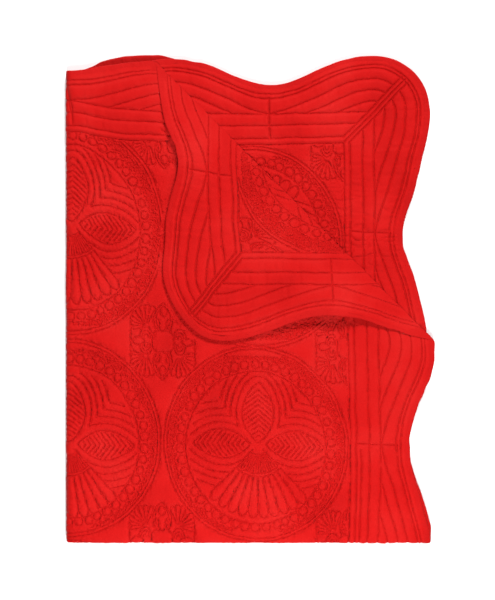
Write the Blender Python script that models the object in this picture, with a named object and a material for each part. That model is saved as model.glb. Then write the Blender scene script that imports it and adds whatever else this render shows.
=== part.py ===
"""Baby quilt, folded in quarters with one corner of its top layer turned back.

The quilt is drawn flat first, in u (across) and v (along), with its centre at zero.
Its stitching thins the cloth, and then one function folds every point of it:
up at the bottom, under at the left, and over along the diagonal.
All sizes are in metres and the folded quilt lies on z = 0, face up.
"""

import math

import bmesh
import bpy
import numpy as np
from mathutils.geometry import delaunay_2d_cdt

COLLECTION = "folded_baby_quilt"

# Quilt, flat
PANEL_HALF_U = 0.351
PANEL_HALF_V = 0.498
EDGE_VALLEY = 0.0745
EDGE_PEAK = 0.109
SCALLOP = 0.259
CORNER_RADIUS = 0.070
BINDING_WIDTH = 0.0118
SEAM_GAP = 0.0004

# Cloth
PUFF_THICKNESS = 0.0032
STITCH_THICKNESS = 0.0020
BINDING_THICKNESS = 0.0026
BINDING_RIM = 0.0012
BINDING_ROUND = 0.0022
LAYER_PITCH = 0.0042
PUFF_REACH = 0.0062

# Stitching of the border, as distances out from the panel's frame line
FRAME_LINES = (0.0, 0.0106, 0.0243, 0.0386)
CHANNEL_FIRST = 0.0163
CHANNEL_PITCH = 0.0137
CHANNELS = 4

# Medallions, flat
MEDALLION_PITCH_U = 0.234
MEDALLION_PITCH_V = 0.249
OUTER_RING = (0.1150, 0.1225)
INNER_RING = (0.0875, 0.0955)
RING_DROP = 0.004
LEAF_HALF_WIDTH = 0.020
LEAF_FULLNESS = 0.8
LEAF_RIDGE = np.array((0.2, 0.5, 0.8))
LEAVES = (
    # direction, span
    ((0.0, 1.0), (0.002, 0.078)),
    ((1.0, 0.0), (0.010, 0.081)),
    ((-1.0, 0.0), (0.010, 0.081)),
)
MEDALLION_COLUMNS = (0.0, 1.0)
MEDALLION_ROWS = (-1.5, -0.5, 0.5, 1.5)
RIDGE_INSET = 0.0087
SMALL_FAN = 0.040
LARGE_FAN = 0.092
FAN_SPREAD = math.radians(45)
FAN_RIBS = 5

# How the cloth was laid before it was folded
LAY_BLEND = 0.08
LAY_SHIFT_U = 0.0016
LAY_SHIFT_V = 0.0059
LAY_LEAN = 0.0138
LAY_NARROWING = 0.0643
UNDER_NARROWING = 0.03
DROP_ABOVE = (0.0375, -0.0025)
DROP_BELOW = (0.0043, 0.0143)
FOLD_SOFTNESS = 0.02
LEFT_RAISE = 0.0087
LEFT_RAISE_FROM = 0.20
LEFT_RAISE_OVER = 0.28
LEFT_RAISE_SPREAD = (0.035, 0.090)

# The turned-back corner
DIAGONAL_SUM = 0.7031
TURN_RADIUS = 0.0045
FLAP_HEIGHT = 0.0046
FLAP_EASE = 0.075

# Small pulls in the plane of the cloth: flat place, shift, and reach
PULLS = (
    # u, v, shift_u, shift_v, reach
    (0.259, 0.573, -0.010, 0.000, 0.060),
    (0.300, 0.590, -0.004, 0.010, 0.050),
    (0.430, 0.600, 0.000, -0.013, 0.060),
    (0.455, 0.500, 0.009, 0.000, 0.090),
    (0.430, 0.370, 0.006, 0.000, 0.070),
    (0.400, 0.130, 0.003, 0.000, 0.090),
    (0.455, 0.245, 0.002, -0.005, 0.060),
    (0.460, 0.000, -0.006, 0.000, 0.070),
    (0.425, -0.388, -0.002, 0.008, 0.050),
    (0.455, -0.265, -0.006, 0.000, 0.060),
)

# Places where the flap stands off the layer below it: flat place, height, reach
LIFTS = (
    # u, v, height, reach
    (0.235, 0.570, 0.006, 0.070),
    (0.425, 0.388, 0.005, 0.060),
)

# Place of the bottom left corner of the folds
LEFT_FOLD_X = -0.2228
BOTTOM_FOLD_Y = -0.3011

# Mesh
OUTLINE_SAMPLES = 900
SHOWN_STEP = 0.026
CHANNEL_STEP = 0.034
HIDDEN_STEP = 0.044
STRAIGHT_STEP = 0.075
RING_STEPS = 20
INSIDE_RING_STEPS = 14
LEAF_STEPS = 5
FILLER_PITCH = 0.045
FILLER_CLEARANCE = 0.017
BOTTOM_FOLD_STEPS = 4
LEFT_FOLD_STEPS = 6
TURN_STEPS = 6
TURN_STATION_STEP = 0.0024
CLOTH_RED = (0.66, 0.012, 0.011, 1.0)
BINDING_RED = (0.62, 0.010, 0.010, 1.0)


def smooth_step(value):
    """Ease from 0 to 1 with level ends."""
    t = np.clip(value, 0.0, 1.0)
    return t * t * (3.0 - 2.0 * t)


def lay_flat(u, v):
    """Flat place to the place on the table before any fold."""
    above = 0.5 + 0.5 * np.tanh(v / LAY_BLEND)
    below = 1.0 - above
    spread = np.sqrt(u * u + FOLD_SOFTNESS ** 2) - FOLD_SOFTNESS
    drop = (DROP_ABOVE[0] * above + DROP_BELOW[0] * below) * spread
    drop = drop + (DROP_ABOVE[1] * above + DROP_BELOW[1] * below) * u
    reach = np.where(u > 0.0, LEFT_RAISE_SPREAD[0], LEFT_RAISE_SPREAD[1])
    lifted = smooth_step((v - LEFT_RAISE_FROM) / LEFT_RAISE_OVER) * np.exp(-(u / reach) ** 2)
    a = u + LAY_SHIFT_U + LAY_LEAN * v - LAY_NARROWING * u * v * above
    a = a + UNDER_NARROWING * below * (spread - u) / 2.0
    b = v + LAY_SHIFT_V - drop + LEFT_RAISE * lifted
    for pull_u, pull_v, shift_u, shift_v, pull_reach in PULLS:
        share = np.exp(-((u - pull_u) ** 2 + (v - pull_v) ** 2) / pull_reach ** 2)
        a = a + shift_u * share
        b = b + shift_v * share
    return a, b


def flat_of(a, b):
    """The flat place that lies at (a, b), found by repeated correction."""
    u = a
    v = b
    for _ in range(8):
        found_a, found_b = lay_flat(u, v)
        u = u + a - found_a
        v = v + b - found_b
    return u, v


def flap_lift(u, v):
    """How far the flap stands off the layer below it, away from its fold."""
    lift = np.zeros_like(u)
    for lift_u, lift_v, height, reach in LIFTS:
        lift = lift + height * np.exp(-((u - lift_u) ** 2 + (v - lift_v) ** 2) / reach ** 2)
    return lift


def turn_corner(u, v, a, b, w):
    """Fold the upper right corner over the diagonal, face side inward."""
    past = (a + b - DIAGONAL_SUM) / math.sqrt(2.0)
    past = np.where(u + v > 0.0, past, -1.0)
    bend = math.pi * TURN_RADIUS
    angle = np.clip(past / TURN_RADIUS, 0.0, math.pi)
    flat_run = np.maximum(past - bend, 0.0)
    back = np.where(past < 0.0, -past, flat_run - (TURN_RADIUS - w) * np.sin(angle))
    ease = smooth_step(flat_run / FLAP_EASE)
    stand = 2.0 * TURN_RADIUS + (FLAP_HEIGHT - 2.0 * TURN_RADIUS) * ease
    stand = stand + flap_lift(u, v) * ease
    turning = TURN_RADIUS - (TURN_RADIUS - w) * np.cos(angle)
    height = np.where(past < 0.0, w, np.where(past < bend, turning, stand - w))
    shift = (past + back) / math.sqrt(2.0)
    return a - shift, b - shift, height


def fold_over(along, height, radius):
    """Bend a sheet round an edge: a place along it and a height, to two lengths."""
    bend = 0.5 * math.pi * radius
    angle = np.clip(along / radius, -0.5 * math.pi, 0.5 * math.pi)
    reach = radius + height
    run = np.maximum(np.abs(along) - bend, 0.0)
    return run - reach * np.cos(angle), reach * np.sin(angle)


def fold_quilt(u, v, w):
    """Flat place and height in the cloth, to the folded place."""
    a, b = lay_flat(u, v)
    a, b, height = turn_corner(u, v, a, b, w)
    y, layer = fold_over(b, height, 0.5 * LAYER_PITCH)
    x, z = fold_over(a, layer, LAYER_PITCH)
    low = 1.5 * LAYER_PITCH + 0.5 * PUFF_THICKNESS
    return x + LEFT_FOLD_X, y + BOTTOM_FOLD_Y, z + low


def quarter_outline(samples):
    """The scalloped edge of one quarter, from its right side round to its top."""
    swing = 0.5 * (EDGE_PEAK - EDGE_VALLEY)
    middle = 0.5 * (EDGE_PEAK + EDGE_VALLEY)
    share = np.linspace(0.0, 1.0, samples, endpoint=False)
    centre_u = PANEL_HALF_U + EDGE_PEAK - CORNER_RADIUS
    centre_v = PANEL_HALF_V + EDGE_PEAK - CORNER_RADIUS
    last_valley_v = 1.5 * SCALLOP
    side_v = share * last_valley_v
    side_u = PANEL_HALF_U + middle + swing * np.cos(2.0 * math.pi * side_v / SCALLOP)
    rise_v = last_valley_v + share * (centre_v - last_valley_v)
    rise_u = PANEL_HALF_U + middle - swing * np.cos(math.pi * share)
    arc = share * 0.5 * math.pi
    arc_u = centre_u + CORNER_RADIUS * np.cos(arc)
    arc_v = centre_v + CORNER_RADIUS * np.sin(arc)
    fall_u = centre_u + share * (SCALLOP - centre_u)
    fall_v = PANEL_HALF_V + middle + swing * np.cos(math.pi * share)
    top_u = SCALLOP * (1.0 - share)
    top_v = PANEL_HALF_V + middle - swing * np.cos(2.0 * math.pi * top_u / SCALLOP)
    u = np.concatenate((side_u, rise_u, arc_u, fall_u, top_u))
    v = np.concatenate((side_v, rise_v, arc_v, fall_v, top_v))
    return u, v


class Outline:
    """The whole scalloped edge, walked by length, counter-clockwise from the right."""

    def __init__(self):
        quarter_u, quarter_v = quarter_outline(OUTLINE_SAMPLES)
        back_u = np.concatenate(([0.0], quarter_u[:0:-1]))
        back_v = np.concatenate(([quarter_v[-1]], quarter_v[:0:-1]))
        self.u = np.concatenate((quarter_u, -back_u, -quarter_u, back_u))
        self.v = np.concatenate((quarter_v, back_v, -quarter_v, -back_v))
        step = np.hypot(np.diff(self.u, append=self.u[:1]), np.diff(self.v, append=self.v[:1]))
        self.length = float(step.sum())
        self.run = np.concatenate(([0.0], np.cumsum(step)))

    def at(self, run, inset=0.0):
        """Points at the given lengths, moved in from the edge."""
        run = np.mod(run, self.length)
        reach = 0.001
        places = []
        for place in (run, run - reach, run + reach):
            place = np.mod(place, self.length)
            u = np.interp(place, self.run, np.append(self.u, self.u[0]))
            v = np.interp(place, self.run, np.append(self.v, self.v[0]))
            places.append((u, v))
        (u, v), (before_u, before_v), (after_u, after_v) = places
        along_u = after_u - before_u
        along_v = after_v - before_v
        size = np.hypot(along_u, along_v)
        return u - inset * along_v / size, v + inset * along_u / size


def turn_stations(outline):
    """Close stations on the edge where it goes round the diagonal fold."""
    runs = np.arange(0.0, outline.length, TURN_STATION_STEP)
    near = np.zeros(len(runs), dtype=bool)
    for inset in (0.0, BINDING_WIDTH):
        u, v = outline.at(runs, inset)
        a, b = lay_flat(u, v)
        past = (a + b - DIAGONAL_SUM) / math.sqrt(2.0)
        span = math.pi * TURN_RADIUS + TURN_STATION_STEP
        near |= (past > -TURN_STATION_STEP) & (past < span) & (u > 0.0) & (v > 0.0)
    return runs[near]


def fold_stations(outline, axis, levels):
    """Stations where the edge crosses the bottom fold's or the left fold's lines."""
    runs = np.arange(0.0, outline.length, 0.0005)
    u, v = outline.at(runs, 0.5 * BINDING_WIDTH)
    place = lay_flat(u, v)[axis]
    found = []
    for level in levels:
        side = place > level
        crossing = np.nonzero(side[:-1] != side[1:])[0]
        for index in crossing:
            share = (level - place[index]) / (place[index + 1] - place[index])
            found.append(runs[index] + share * (runs[index + 1] - runs[index]))
    return np.array(found)


def edge_stations(outline):
    """Lengths along the edge at which the cloth and its binding are cut into faces."""
    bottom = 0.25 * math.pi * LAYER_PITCH
    left = 0.5 * math.pi * LAYER_PITCH
    bottom_levels = np.linspace(-bottom, bottom, BOTTOM_FOLD_STEPS + 1)
    left_levels = np.linspace(-left, left, LEFT_FOLD_STEPS + 1)
    close = [turn_stations(outline), fold_stations(outline, 1, bottom_levels)]
    close.append(fold_stations(outline, 0, left_levels))
    kept = list(np.sort(np.concatenate(close)))
    fine = np.arange(0.0, outline.length, 0.002)
    u, v = outline.at(fine)
    step = np.where(u > 0.0, SHOWN_STEP, HIDDEN_STEP)
    count = np.cumsum(0.002 / step)
    regular = np.interp(np.arange(1.0, count[-1]), count, fine)
    closed = np.concatenate((kept, [kept[0] + outline.length]))
    for run in regular:
        if np.min(np.abs(closed - run)) > 0.4 * SHOWN_STEP:
            kept.append(run)
    return np.sort(np.array(kept))


def ellipse(centre, radii, steps, start=0.0, sweep=2.0 * math.pi):
    """Points round an ellipse or a part of one."""
    angle = start + np.linspace(0.0, sweep, steps + 1)
    u = centre[0] + radii[0] * np.cos(angle)
    v = centre[1] + radii[1] * np.sin(angle)
    return np.column_stack((u, v))


def leaf(centre, direction, span):
    """A pointed leaf along a direction, as a closed outline."""
    share = np.linspace(0.0, 1.0, LEAF_STEPS + 1)
    along = span[0] + share * (span[1] - span[0])
    across = LEAF_HALF_WIDTH * np.sin(math.pi * share) ** LEAF_FULLNESS
    upper = np.column_stack((along, across))
    lower = np.column_stack((along, -across))[::-1]
    outline = np.concatenate((upper, lower[1:]))
    cos, sin = direction
    u = centre[0] + outline[:, 0] * cos - outline[:, 1] * sin
    v = centre[1] + outline[:, 0] * sin + outline[:, 1] * cos
    return np.column_stack((u, v))


def medallion_centres():
    """Centres of the medallions on the side that shows."""
    pairs = [(column, row) for column in MEDALLION_COLUMNS for row in MEDALLION_ROWS]
    return [(column * MEDALLION_PITCH_U, row * MEDALLION_PITCH_V) for column, row in pairs]


def medallion(centre):
    """Stitch lines of one medallion: two rings, three leaves and a fan."""
    low = (centre[0], centre[1] - RING_DROP)
    stitches = [ellipse(centre, OUTER_RING, RING_STEPS)]
    stitches.append(ellipse(low, INNER_RING, RING_STEPS - 2))
    for direction, span in LEAVES:
        stitches.append(leaf(centre, direction, span))
    start = 1.5 * math.pi - FAN_SPREAD
    stitches.append(ellipse(centre, (SMALL_FAN, SMALL_FAN), FAN_RIBS, start, 2.0 * FAN_SPREAD))
    for index in range(FAN_RIBS + 1):
        angle = start + 2.0 * FAN_SPREAD * index / FAN_RIBS
        inner = SMALL_FAN * np.array((math.cos(angle), math.sin(angle)))
        rib = np.array((inner, inner * LARGE_FAN / SMALL_FAN))
        stitches.append(rib + np.array(centre))
    return stitches


def medallion_ridges(centre):
    """Lines between a medallion's stitches, where the cloth is at its thickest."""
    low = (centre[0], centre[1] - RING_DROP)
    between = [0.5 * (outer + inner) for outer, inner in zip(OUTER_RING, INNER_RING)]
    inside = [radius - RIDGE_INSET for radius in INNER_RING]
    ridges = [ellipse(low, between, RING_STEPS), ellipse(low, inside, INSIDE_RING_STEPS)]
    for (cos, sin), span in LEAVES:
        along = span[0] + LEAF_RIDGE * (span[1] - span[0])
        ridges.append(np.column_stack((centre[0] + along * cos, centre[1] + along * sin)))
    return ridges


def frame_line(distance):
    """A straight stitched line that runs round the panel, for the side that shows."""
    u = PANEL_HALF_U + distance
    v = PANEL_HALF_V + distance
    steps_u = int(round(u / STRAIGHT_STEP))
    steps_v = int(round(2.0 * v / STRAIGHT_STEP))
    top = np.column_stack((np.linspace(0.0, u, steps_u + 1), np.full(steps_u + 1, v)))
    side = np.column_stack((np.full(steps_v + 1, u), np.linspace(v, -v, steps_v + 1)))
    bottom = top[::-1] * np.array((1.0, -1.0))
    return np.concatenate((top, side[1:], bottom[1:]))


def outside_frame(points):
    """Which points lie outside the outermost straight line."""
    reach_u = np.abs(points[:, 0]) - PANEL_HALF_U
    reach_v = np.abs(points[:, 1]) - PANEL_HALF_V
    return np.maximum(reach_u, reach_v) > FRAME_LINES[-1]


def channel_lines(outline, inset):
    """Stretches of a line that follows the scallops, down to the outer straight line."""
    start = 0.5 * outline.length
    u, v = outline.at(np.arange(start, start + outline.length, CHANNEL_STEP), inset)
    points = np.column_stack((u, v))
    keep = outside_frame(points) & (u > -LAYER_PITCH)
    lines = []
    current = []
    for point, kept in zip(points, keep):
        if kept:
            current.append(point)
        elif current:
            lines.append(np.array(current))
            current = []
    if current:
        lines.append(np.array(current))
    return [line for line in lines if len(line) > 1]


def fold_lines(axis, levels, reach):
    """Straight lines on the table along a fold, taken back to the flat quilt."""
    steps = int(round(2.0 * reach / STRAIGHT_STEP))
    along = np.linspace(-reach, reach, steps + 1)
    lines = []
    for level in levels:
        across = np.full_like(along, level)
        pair = (across, along) if axis == 0 else (along, across)
        lines.append(np.column_stack(flat_of(*pair)))
    return lines


def turn_lines():
    """Lines along the diagonal fold, and a few more where the flap comes down."""
    bend = math.pi * TURN_RADIUS
    levels = list(np.linspace(0.0, bend, TURN_STEPS + 1))
    levels += [bend + share * FLAP_EASE for share in (0.33, 0.67, 1.0)]
    reach = 0.62
    steps = int(round(2.0 * reach / STRAIGHT_STEP))
    along = np.linspace(-reach, reach, steps + 1) / math.sqrt(2.0)
    lines = []
    for level in levels:
        middle = 0.5 * DIAGONAL_SUM + level / math.sqrt(2.0)
        lines.append(np.column_stack(flat_of(middle + along, middle - along)))
    return lines


def segments_of(lines):
    """All the short straight pieces of some lines, as start points and spans."""
    starts = np.concatenate([line[:-1] for line in lines])
    ends = np.concatenate([line[1:] for line in lines])
    return starts, ends - starts


def distance_to(points, lines):
    """Distance from each point to the nearest of the lines."""
    starts, spans = segments_of(lines)
    size = np.maximum((spans ** 2).sum(axis=1), 1e-12)
    nearest = np.full(len(points), np.inf)
    for start, span, square in zip(starts, spans, size):
        share = np.clip(((points - start) @ span) / square, 0.0, 1.0)
        gap = points - start - share[:, None] * span
        nearest = np.minimum(nearest, np.hypot(gap[:, 0], gap[:, 1]))
    return nearest


def stitch_lines(outline):
    """Every stitched line that is deep enough to shape the cloth."""
    stitches = [frame_line(distance) for distance in FRAME_LINES]
    for index in range(CHANNELS):
        stitches += channel_lines(outline, CHANNEL_FIRST + index * CHANNEL_PITCH)
    for centre in medallion_centres():
        stitches += medallion(centre)
    return stitches


def ridge_lines(outline):
    """Lines between the stitches, where the cloth is full."""
    between = zip(FRAME_LINES[:-1], FRAME_LINES[1:])
    ridges = [frame_line(0.5 * (inner + outer)) for inner, outer in between]
    for index in range(CHANNELS):
        inset = CHANNEL_FIRST + (index + 0.5) * CHANNEL_PITCH
        ridges += channel_lines(outline, inset)
    for centre in medallion_centres():
        ridges += medallion_ridges(centre)
    return ridges


def clip_left(lines, limit):
    """Keep the stretches of lines that lie right of the limit."""
    kept = []
    for line in lines:
        inside = line[:, 0] > limit
        start = 0
        for index in range(1, len(line) + 1):
            if index == len(line) or inside[index] != inside[start]:
                if inside[start] and index - start > 1:
                    kept.append(line[start:index])
                start = index
    return kept


def filler_points(boundary, lines):
    """Points of an even net, where no line is near."""
    reach_u = PANEL_HALF_U + EDGE_PEAK
    reach_v = PANEL_HALF_V + EDGE_PEAK
    points = []
    for row, v in enumerate(np.arange(-reach_v, reach_v, FILLER_PITCH)):
        shift = 0.5 * FILLER_PITCH * (row % 2)
        points += [(u, v) for u in np.arange(-reach_u + shift, reach_u, FILLER_PITCH)]
    points = np.array(points)
    clear = distance_to(points, lines + [boundary]) > FILLER_CLEARANCE
    return points[clear & inside_loop(points, boundary)]


def inside_loop(points, loop):
    """Which points lie inside a closed loop."""
    inside = np.zeros(len(points), dtype=bool)
    for start, end in zip(loop, np.roll(loop, -1, axis=0)):
        spans = (start[1] > points[:, 1]) != (end[1] > points[:, 1])
        if not spans.any():
            continue
        share = (points[:, 1] - start[1]) / (end[1] - start[1])
        inside ^= spans & (points[:, 0] < start[0] + share * (end[0] - start[0]))
    return inside


def flat_cloth(boundary, lines):
    """The quilt's flat net: its edge, every line on it, and triangles between them."""
    points = [tuple(point) for point in boundary]
    edges = []
    for line in lines:
        first = len(points)
        points += [tuple(point) for point in line]
        edges += [(first + index, first + index + 1) for index in range(len(line) - 1)]
    points += [tuple(point) for point in filler_points(boundary, lines)]
    loop = list(range(len(boundary)))
    found = delaunay_2d_cdt(points, edges, [loop], 1, 0.0004)
    mesh = bpy.data.meshes.new("flat_cloth")
    mesh.from_pydata([(place.x, place.y, 0.0) for place in found[0]], [], found[2])
    return mesh


def thicken_and_fold(mesh, half_thickness):
    """Give a flat net its two faces and its edge wall, and fold it."""
    work = bmesh.new()
    work.from_mesh(mesh)
    loose = [vertex for vertex in work.verts if not vertex.link_faces]
    bmesh.ops.delete(work, geom=loose, context="VERTS")
    raised = bmesh.ops.extrude_face_region(work, geom=work.faces[:])["geom"]
    upper = [item for item in raised if isinstance(item, bmesh.types.BMVert)]
    bmesh.ops.translate(work, verts=upper, vec=(0.0, 0.0, 1.0))
    flat = np.array([tuple(vertex.co) for vertex in work.verts])
    side = 2.0 * flat[:, 2] - 1.0
    half = half_thickness(flat[:, :2])
    x, y, z = fold_quilt(flat[:, 0], flat[:, 1], side * half)
    for vertex, place in zip(work.verts, np.column_stack((x, y, z))):
        vertex.co = place
    bmesh.ops.triangulate(work, faces=work.faces[:])
    bmesh.ops.recalc_face_normals(work, faces=work.faces[:])
    work.to_mesh(mesh)
    work.free()
    return mesh


def cloth_material(name, colour):
    """Plain matt cotton."""
    material = bpy.data.materials.new(name)
    material.use_nodes = True
    shader = material.node_tree.nodes["Principled BSDF"]
    shader.inputs["Base Color"].default_value = colour
    shader.inputs["Roughness"].default_value = 0.85
    shader.inputs["Metallic"].default_value = 0.0
    return material


def place_object(name, mesh, material, collection):
    """Put a finished mesh in the collection as one object."""
    mesh.name = name
    mesh.materials.append(material)
    part = bpy.data.objects.new(name, mesh)
    collection.objects.link(part)
    return part


def make_quilted_cloth(outline, runs):
    """The quilted cloth: face, wadding and back, stitched through as one."""
    boundary = np.column_stack(outline.at(runs, BINDING_WIDTH))
    stitches = clip_left(stitch_lines(outline), -LAYER_PITCH)
    ridges = clip_left(ridge_lines(outline), -LAYER_PITCH)
    bottom = 0.25 * math.pi * LAYER_PITCH
    left = 0.5 * math.pi * LAYER_PITCH
    folds = fold_lines(1, np.linspace(-bottom, bottom, BOTTOM_FOLD_STEPS + 1), 0.50)
    folds += fold_lines(0, np.linspace(-left, left, LEFT_FOLD_STEPS + 1), 0.65)
    folds += turn_lines()
    mesh = flat_cloth(boundary, stitches + ridges + folds)

    def half_thickness(points):
        gap = distance_to(points, stitches)
        full = smooth_step(gap / PUFF_REACH)
        shown = smooth_step((points[:, 0] + 3.0 * LAYER_PITCH) / (2.0 * LAYER_PITCH))
        full = 1.0 + (full - 1.0) * shown
        return 0.5 * (STITCH_THICKNESS + (PUFF_THICKNESS - STITCH_THICKNESS) * full)

    return thicken_and_fold(mesh, half_thickness)


def make_binding(outline, runs):
    """The bias strip that binds the scalloped edge, 12 mm wide."""
    insets = (0.0, BINDING_ROUND, 0.5 * BINDING_WIDTH, BINDING_WIDTH - SEAM_GAP)
    work = bmesh.new()
    first = np.column_stack(outline.at(runs, 0.0))
    ring = [work.verts.new((u, v, 0.0)) for u, v in first]
    loop = [work.edges.new((ring[index - 1], ring[index])) for index in range(len(ring))]
    for inset in insets[1:]:
        made = bmesh.ops.extrude_edge_only(work, edges=loop)["geom"]
        loop = [item for item in made if isinstance(item, bmesh.types.BMEdge)]
        fresh = [item for item in made if isinstance(item, bmesh.types.BMVert)]
        previous = insets[insets.index(inset) - 1]
        old = np.column_stack(outline.at(runs, previous))
        new = np.column_stack(outline.at(runs, inset))
        for vertex in fresh:
            gap = np.hypot(old[:, 0] - vertex.co.x, old[:, 1] - vertex.co.y)
            vertex.co.xy = new[int(np.argmin(gap))]
    mesh = bpy.data.meshes.new("flat_binding")
    work.to_mesh(mesh)
    work.free()

    def half_thickness(points):
        gap = distance_to(points, [np.concatenate((first, first[:1]))])
        full = smooth_step(gap / BINDING_ROUND + 0.1)
        return 0.5 * (BINDING_RIM + (BINDING_THICKNESS - BINDING_RIM) * full)

    return thicken_and_fold(mesh, half_thickness)


def main():
    for old in list(bpy.data.objects):
        bpy.data.objects.remove(old, do_unlink=True)
    collection = bpy.data.collections.new(COLLECTION)
    bpy.context.scene.collection.children.link(collection)
    outline = Outline()
    runs = edge_stations(outline)
    cloth = make_quilted_cloth(outline, runs)
    place_object("quilted_cloth", cloth, cloth_material("red_cotton", CLOTH_RED), collection)
    binding = make_binding(outline, runs)
    place_object("edge_binding", binding, cloth_material("red_binding", BINDING_RED), collection)


main()
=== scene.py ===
"""Looks of the folded baby quilt: its quilted face and back, its bound edge and its stitching.

The quilt is drawn flat in u (across) and v (along), and one function folds every point.
The solids that it stands for are folded in the same way, with plainer shapes.
All sizes are in metres.
"""

import math

import bpy
import numpy as np
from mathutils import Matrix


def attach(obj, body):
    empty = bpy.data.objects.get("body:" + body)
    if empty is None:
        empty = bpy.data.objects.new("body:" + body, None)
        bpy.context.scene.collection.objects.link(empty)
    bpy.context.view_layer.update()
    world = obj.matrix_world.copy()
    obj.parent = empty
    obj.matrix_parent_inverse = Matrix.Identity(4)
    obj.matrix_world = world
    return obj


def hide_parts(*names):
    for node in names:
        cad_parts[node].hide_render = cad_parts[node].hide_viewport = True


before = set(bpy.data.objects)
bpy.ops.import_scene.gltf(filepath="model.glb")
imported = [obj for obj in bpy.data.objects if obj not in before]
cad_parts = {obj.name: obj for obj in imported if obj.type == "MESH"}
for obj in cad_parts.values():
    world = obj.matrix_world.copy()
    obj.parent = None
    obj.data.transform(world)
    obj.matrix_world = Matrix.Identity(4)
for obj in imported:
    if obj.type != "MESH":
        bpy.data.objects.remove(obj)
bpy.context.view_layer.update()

# Camera, straight above, as far as the photograph needs
PIXEL = 0.001245
IMAGE_SIZE = (495, 600)
QUILT_CENTRE_PIXEL = (250.28, 299.06)
CAMERA_HEIGHT = 2.2
SHOWN_HEIGHT = 0.018
SENSOR = 36.0

# Studio
SURROUNDING = 0.06
LAMPS = (
    # name, place, size, power
    ("key_lamp", (0.5, 2.65, 2.2), 0.9, 148.0),
    ("front_lamp", (0.1, -1.4, 2.4), 0.8, 57.0),
    ("low_lamp", (0.05, -0.80, 0.4), 0.4, 3.4),
)
FLOOR_REACH = 3.0
FLOOR_DROP = 0.0005
FLOOR_WHITE = 0.97

# Quilt, flat
PANEL_HALF_U = 0.351
PANEL_HALF_V = 0.498
EDGE_VALLEY = 0.0745
EDGE_PEAK = 0.109
SCALLOP = 0.259
CORNER_RADIUS = 0.070
BINDING_WIDTH = 0.0118
LAYER_PITCH = 0.0042
PUFF_THICKNESS = 0.0032

# Stitching is drawn on the right half and a little past its middle, and the left half mirrors it
HALF_START = -0.012
HALF_END_U = 0.475
HALF_END_V = 0.62
QUADRANTS = ((1.0, 1.0), (-1.0, 1.0), (-1.0, -1.0), (1.0, -1.0))

# Stitching of the border
FRAME_LINES = (0.0, 0.0078, 0.0240, 0.0380)
CHANNEL_INSETS = (0.0120, 0.0163, 0.0297, 0.0432, 0.0575, 0.0712)
MITRE_LINES = (-0.0050, 0.0, 0.0050)
MITRE_LENGTH = 0.111
CUSP_DEPTH = 0.0062
CUSP_REACH = 0.040
CUSP_SHARPNESS = 1.4
CREASE_AT = 0.0137
CREASE_LENGTH = 0.122

# Medallions
MEDALLION_PITCH_U = 0.234
MEDALLION_PITCH_V = 0.249
MEDALLION_ROWS = (-1.5, -0.5, 0.5, 1.5)
OUTER_RING = (0.1150, 0.1225)
SECOND_RING = (0.1108, 0.1183)
INNER_RING = (0.0875, 0.0955)
RING_DROP = 0.004
LEAVES_WITHIN = 0.99
STARS_BEYOND = 1.015
BEAD_RING = (0.0942, 0.1018)
BEAD_DROP = 0.0022
BEADS = 46
BEAD_RADIUS = 0.0057
BEAD_SIZES = (0.86, 1.08)
BEAD_JITTER = 0.08
CURL_PITCH = 0.0046
CURL_JITTER = 0.0007
CURL_RADII = (0.0016, 0.0022)
CURL_ROUNDNESS = (0.75, 1.1)
CURL_CLEAR = 0.0017
CURL_SWEEP = (math.radians(250), math.radians(360))
# Four medallions are sewn off their even places, and so is one star. For a column and row:
# how far right and up its leaves lie and its rings do, how much taller its leaves,
# its beads and its rings are, and how much wider its rings are
OFF_PLACE = {
    (0.0, 0.5): ((0.0, -0.0070), (0.0, 0.0), (1.00, 1.00, 1.00), 1.00),
    (0.0, 1.5): ((0.0, 0.0125), (0.0, 0.0125), (1.04, 1.07, 1.09), 1.026),
    (1.0, 0.5): ((0.0035, 0.0), (0.0, 0.0), (1.00, 1.00, 1.00), 1.00),
    (1.0, 1.5): ((0.0046, 0.0), (0.0046, 0.0), (1.00, 1.00, 1.06), 1.06),
}
EVEN_PLACE = ((0.0, 0.0), (0.0, 0.0), (1.00, 1.00, 1.00), 1.00)
STAR_OFF_PLACE = {(0.5, 2.0): 0.014}
LEAF_FULLNESS = 0.8
LEAF_POINTS = 22
VEIN_PITCH = 0.0063
VEIN_SLOPE = 0.78
VEIN_ENDS = (0.010, 0.003)
VEIN_FOOT = 0.004
VEIN_CLEAR = 0.0015
LEAVES = (
    # direction, span, half width, pitch of the echo lines round it, and how blunt these are
    ((0.0, 1.0), (0.002, 0.078), 0.0200, 0.0074, 0.55),
    ((1.0, 0.0), (0.010, 0.081), 0.0182, 0.0088, 0.80),
    ((-1.0, 0.0), (0.010, 0.081), 0.0182, 0.0088, 0.80),
)
ECHO_LINES = 4
ECHO_CLEAR = 0.985
ECHO_WITHIN = 0.97
ECHO_FAN_GAP = 0.02
SMALL_FAN = 0.040
FAN_BAND = 0.0036
FAN_END = 0.0835
FAN_LOBE = 0.0088
FAN_SPREAD = math.radians(44)
SMALL_RIBS = 16
SMALL_RIB_STARTS = (0.009, 0.013)
FAN_LOBES = 10
LOBE_POINTS = 9
LOBE_FULLNESS = 0.7

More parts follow.
